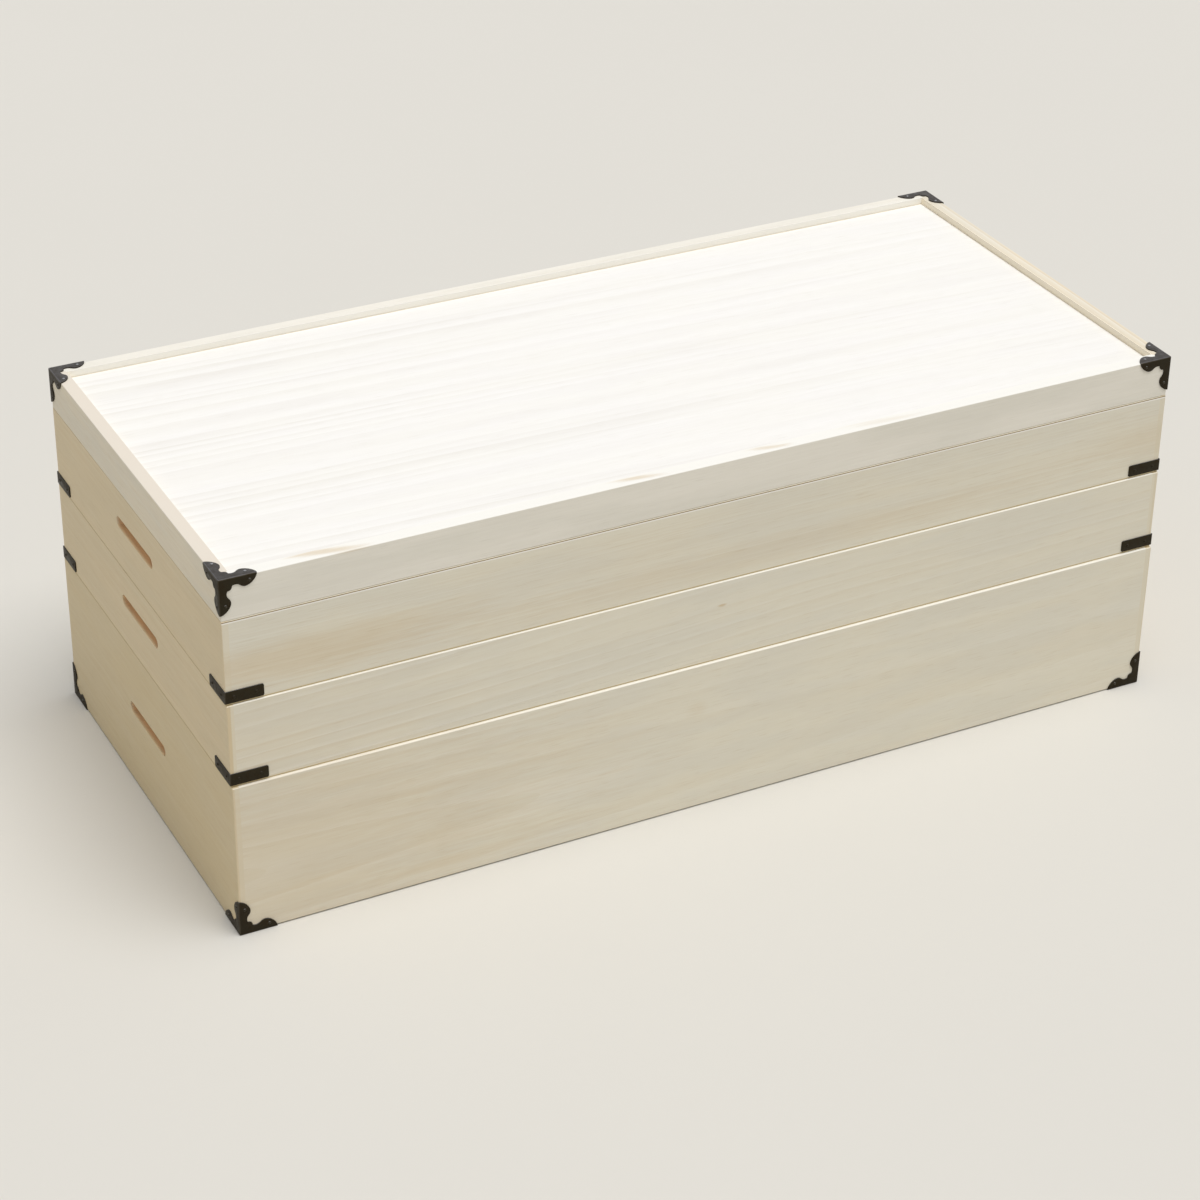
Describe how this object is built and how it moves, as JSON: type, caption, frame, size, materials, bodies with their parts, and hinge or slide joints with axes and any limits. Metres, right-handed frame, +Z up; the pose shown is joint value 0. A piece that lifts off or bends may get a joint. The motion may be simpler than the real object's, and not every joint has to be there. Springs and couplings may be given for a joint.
{
  "type": "stacking clothing chest",
  "caption": "Low wooden clothing chest of stacked lift-off trays under a flat lid with a raised rim, with finger grips in the ends and black iron corner fittings.",
  "frame": {"origin": "centre of the footprint, on the floor", "axes": "+X along the length, to the right as seen from the front; the front long side faces -Y; +Z up"},
  "size_m": [0.9134, 0.4246, 0.3432],
  "materials": {
    "paulownia": "bare planed wood, satin, fine straight grain",
    "black_iron": "black lacquered plate, semi-gloss",
    "nail_heads": "black lacquered, rubbed bright on the crown"
  },
  "bodies": {
    "deep_tray": {"deep_tray_back": "paulownia", "deep_tray_back_lip": "paulownia", "deep_tray_bottom": "paulownia", "deep_tray_front": "paulownia", "deep_tray_front_lip": "paulownia", "deep_tray_guard_back_left": "black_iron", "deep_tray_guard_back_right": "black_iron", "deep_tray_guard_front_left": "black_iron", "deep_tray_guard_front_right": "black_iron", "deep_tray_left_end": "paulownia", "deep_tray_left_lip": "paulownia", "deep_tray_nails": "nail_heads", "deep_tray_right_end": "paulownia", "deep_tray_right_lip": "paulownia"},
    "middle_tray": {"middle_tray_back": "paulownia", "middle_tray_back_lip": "paulownia", "middle_tray_bottom": "paulownia", "middle_tray_front": "paulownia", "middle_tray_front_lip": "paulownia", "middle_tray_left_end": "paulownia", "middle_tray_left_lip": "paulownia", "middle_tray_nails": "nail_heads", "middle_tray_right_end": "paulownia", "middle_tray_right_lip": "paulownia", "middle_tray_strap_back_left": "black_iron", "middle_tray_strap_back_right": "black_iron", "middle_tray_strap_front_left": "black_iron", "middle_tray_strap_front_right": "black_iron"},
    "upper_tray": {"upper_tray_back": "paulownia", "upper_tray_back_lip": "paulownia", "upper_tray_bottom": "paulownia", "upper_tray_front": "paulownia", "upper_tray_front_lip": "paulownia", "upper_tray_left_end": "paulownia", "upper_tray_left_lip": "paulownia", "upper_tray_nails": "nail_heads", "upper_tray_right_end": "paulownia", "upper_tray_right_lip": "paulownia", "upper_tray_strap_back_left": "black_iron", "upper_tray_strap_back_right": "black_iron", "upper_tray_strap_front_left": "black_iron", "upper_tray_strap_front_right": "black_iron"},
    "lid": {"lid_back_rail": "paulownia", "lid_front_rail": "paulownia", "lid_guard_back_left": "black_iron", "lid_guard_back_right": "black_iron", "lid_guard_front_left": "black_iron", "lid_guard_front_right": "black_iron", "lid_left_rail": "paulownia", "lid_nails": "nail_heads", "lid_panel": "paulownia", "lid_right_rail": "paulownia"}
  },
  "joints": [
    {"name": "middle_tray_lift", "type": "slide", "parent": "deep_tray", "child": "middle_tray", "axis": [0, 0, 1], "range_m": [0, 0.2]},
    {"name": "upper_tray_lift", "type": "slide", "parent": "middle_tray", "child": "upper_tray", "axis": [0, 0, 1], "range_m": [0, 0.2]},
    {"name": "lid_lift", "type": "slide", "parent": "upper_tray", "child": "lid", "axis": [0, 0, 1], "range_m": [0, 0.2]}
  ]
}
